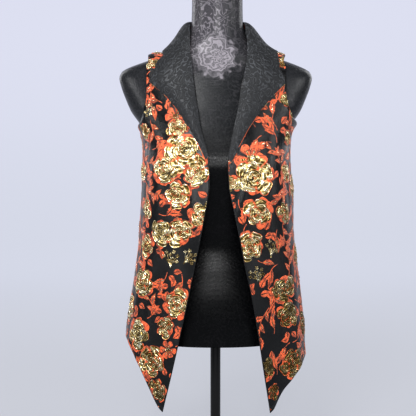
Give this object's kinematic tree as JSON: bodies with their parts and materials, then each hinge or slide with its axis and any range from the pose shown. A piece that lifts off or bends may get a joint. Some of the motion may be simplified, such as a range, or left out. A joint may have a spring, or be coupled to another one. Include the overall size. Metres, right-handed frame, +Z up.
{
  "type": "brocade vest on a limbless dress form and stand",
  "caption": "Sleeveless open-front brocade vest with a wide shawl collar and pointed front hems, worn by a covered limbless dress form on a pole and round base.",
  "frame": {"origin": "centre of the base's underside, on the floor", "axes": "+Z up along the pole, -Y out of the front of the vest, +X to the wearer's left"},
  "size_m": [0.375, 0.3, 0.9783],
  "materials": {
    "brocade": "black satin ground with woven coral and gold flowers",
    "jacquard": "matt dark grey scroll jacquard",
    "form_cover": "smooth black knit cover with a soft sheen and a pale scroll print",
    "stand_steel": "semi-gloss black paint"
  },
  "bodies": {
    "root": {"back": "brocade", "front_right": "brocade", "front_left": "brocade", "under_collar_right": "brocade", "under_collar_left": "brocade", "upper_collar_right": "jacquard", "upper_collar_left": "jacquard", "collar_stand": "jacquard", "dress_form": "form_cover", "neck_cap": "form_cover", "pole": "stand_steel", "base_socket": "stand_steel", "base": "stand_steel"}
  },
  "joints": []
}
